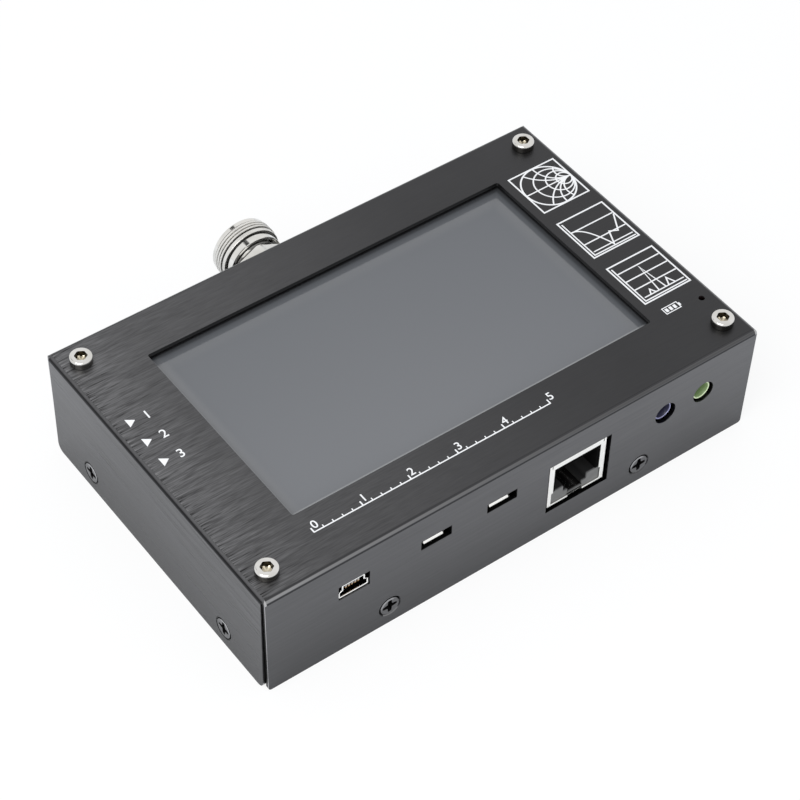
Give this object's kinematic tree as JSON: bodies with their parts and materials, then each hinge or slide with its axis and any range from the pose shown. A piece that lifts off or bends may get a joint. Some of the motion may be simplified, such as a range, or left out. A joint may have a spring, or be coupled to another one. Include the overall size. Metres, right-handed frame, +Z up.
{
  "type": "antenna analyzer",
  "caption": "Flat sheet-metal antenna analyzer with a touch display on top, sockets along the front wall, a type N antenna socket and a toggle power switch on the back.",
  "frame": {"origin": "centre of the case's underside", "axes": "+Z up out of the display, +Y towards the back wall with the antenna socket, +X to the right"},
  "size_m": [0.1344, 0.1018, 0.0322],
  "materials": {
    "black_anodised": "black anodised sheet, brushed",
    "black_steel": "black oxide steel",
    "stainless": "bright stainless steel",
    "nickel": "polished nickel plate",
    "tin_steel": "tinned steel sheet",
    "brass": "turned brass",
    "gold_contact": "gold flash on bronze",
    "screen_glass": "satin touch glass over a switched-off display",
    "light_guide": "clear acrylic",
    "black_plastic": "black moulded plastic",
    "grey_plastic": "translucent grey plastic",
    "blue_plastic": "blue moulded plastic",
    "green_plastic": "green moulded plastic",
    "white_plastic": "white moulded plastic",
    "board": "green solder mask on glass-epoxy",
    "ribbon_film": "polyimide film",
    "foam": "black foam tape",
    "cell_foil": "silver pouch foil",
    "lead_sleeve": "soft insulated lead",
    "teflon": "white insulator",
    "lamp_plastic": "tinted clear plastic"
  },
  "bodies": {
    "case": {"top_cover": "black_anodised", "bottom_tray": "black_anodised", "cover_screws": "black_steel", "press_nuts": "stainless", "cap_screws": "stainless", "corner_spacers": "brass", "corner_nuts": "brass", "window_gasket": "foam", "touch_panel": "screen_glass", "lcd_cell": "screen_glass", "light_guide": "light_guide", "lcd_frame": "tin_steel", "display_tape": "foam", "display_ribbon": "ribbon_film", "ribbon_connector": "white_plastic", "main_board": "board", "main_board_parts": "black_plastic", "card_socket": "tin_steel", "memory_card": "black_plastic", "tact_bases": "black_plastic", "mini_usb_shell": "nickel", "micro_usb_shells": "nickel", "usb_tongues": "black_plastic", "network_shield": "nickel", "network_housing": "black_plastic", "network_light_pipes": "grey_plastic", "socket_contacts": "gold_contact", "line_in_jack": "blue_plastic", "line_out_jack": "green_plastic", "stacking_sockets": "black_plastic", "stacking_pins": "gold_contact", "rf_board": "board", "rf_shield_can": "tin_steel", "rf_chips": "black_plastic", "antenna_socket_body": "nickel", "antenna_insulator": "teflon", "antenna_contact": "gold_contact", "antenna_washer": "nickel", "antenna_nut": "nickel", "antenna_pigtail": "tin_steel", "switch_body": "black_plastic", "switch_terminals": "brass", "switch_bushing": "nickel", "switch_nut": "nickel", "power_leads": "lead_sleeve", "battery": "cell_foil", "battery_strips": "foam", "battery_leads": "lead_sleeve", "battery_plug": "white_plastic", "battery_socket": "white_plastic", "charge_board": "board", "charge_board_parts": "black_plastic", "charge_port": "nickel", "charge_posts": "brass", "charge_screws": "stainless", "charge_lamp": "lamp_plastic", "lamp_leads": "tin_steel"},
    "power_switch_lever": {"switch_lever": "nickel"},
    "reset_button": {"reset_button": "black_plastic"},
    "user_button": {"user_button": "blue_plastic"}
  },
  "joints": [
    {"name": "power_switch_toggle", "type": "hinge", "parent": "case", "child": "power_switch_lever", "pos_m": [0.0053, 0.0452, 0.0152], "axis": [1, 0, 0], "range_deg": [-25, 0]},
    {"name": "reset_press", "type": "slide", "parent": "case", "child": "reset_button", "axis": [0, 0, -1], "range_m": [0, 0.00025], "stiffness_N_per_m": 400},
    {"name": "user_press", "type": "slide", "parent": "case", "child": "user_button", "axis": [0, 0, -1], "range_m": [0, 0.00025], "stiffness_N_per_m": 400}
  ]
}
